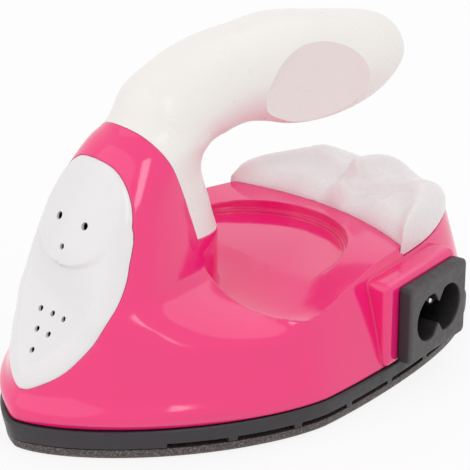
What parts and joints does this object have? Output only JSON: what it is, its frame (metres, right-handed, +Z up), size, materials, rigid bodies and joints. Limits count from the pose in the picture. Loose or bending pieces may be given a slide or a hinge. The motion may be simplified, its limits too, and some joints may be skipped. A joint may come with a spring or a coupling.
{
  "type": "travel iron",
  "caption": "Small travel iron with pointed flat sole, black heat ring, glossy shell with dished deck, arched open handle, vented front plate, scalloped rear cover and side mains inlet.",
  "frame": {"origin": "on the flat face of the sole, on its mirror plane, midway between the nose and the heel of the sole", "axes": "+Z up from the sole, -Y toward the pointed nose, +X toward the side with the mains inlet"},
  "size_m": [0.071, 0.1155, 0.074],
  "materials": {
    "shell_pink": "glossy moulded plastic",
    "handle_white": "soft-gloss moulded plastic",
    "plate_white": "soft-gloss moulded plastic",
    "cover_white": "slightly translucent moulded plastic",
    "ring_black": "heat-resistant moulded plastic",
    "inlet_black": "fine-textured moulded plastic",
    "sole_metal": "dark speckled non-stick coating on cast metal",
    "bright_metal": "bright nickel plating",
    "strap_steel": "plain pressed steel",
    "ceramic_grey": null,
    "sheet_amber": "amber insulating film",
    "board_green": "solder mask",
    "lamp_red": "clear red epoxy",
    "fuse_sleeve": "woven glass sleeve",
    "wire_brown": "flexible insulation",
    "wire_blue": "flexible insulation"
  },
  "bodies": {
    "root": {"soleplate": "sole_metal", "heat_ring": "ring_black", "main_housing": "shell_pink", "front_plate": "plate_white", "handle": "handle_white", "rear_cover": "cover_white", "inlet_housing": "inlet_black", "inlet_pin_live": "bright_metal", "inlet_pin_neutral": "bright_metal", "inlet_retainer": "strap_steel", "heater_block": "ceramic_grey", "insulation_sheet": "sheet_amber", "heater_strap": "strap_steel", "clamp_screw_right": "bright_metal", "clamp_screw_left": "bright_metal", "thermal_fuse": "fuse_sleeve", "lamp_board": "board_green", "indicator_lamp": "lamp_red", "lamp_screw": "bright_metal", "body_screw_front": "bright_metal", "body_screw_right": "bright_metal", "body_screw_left": "bright_metal", "handle_screw_upper": "bright_metal", "handle_screw_lower": "bright_metal", "wire_live": "wire_brown", "wire_fused": "wire_brown", "wire_neutral": "wire_blue", "wire_lamp_live": "wire_brown", "wire_lamp_neutral": "wire_blue"}
  },
  "joints": []
}
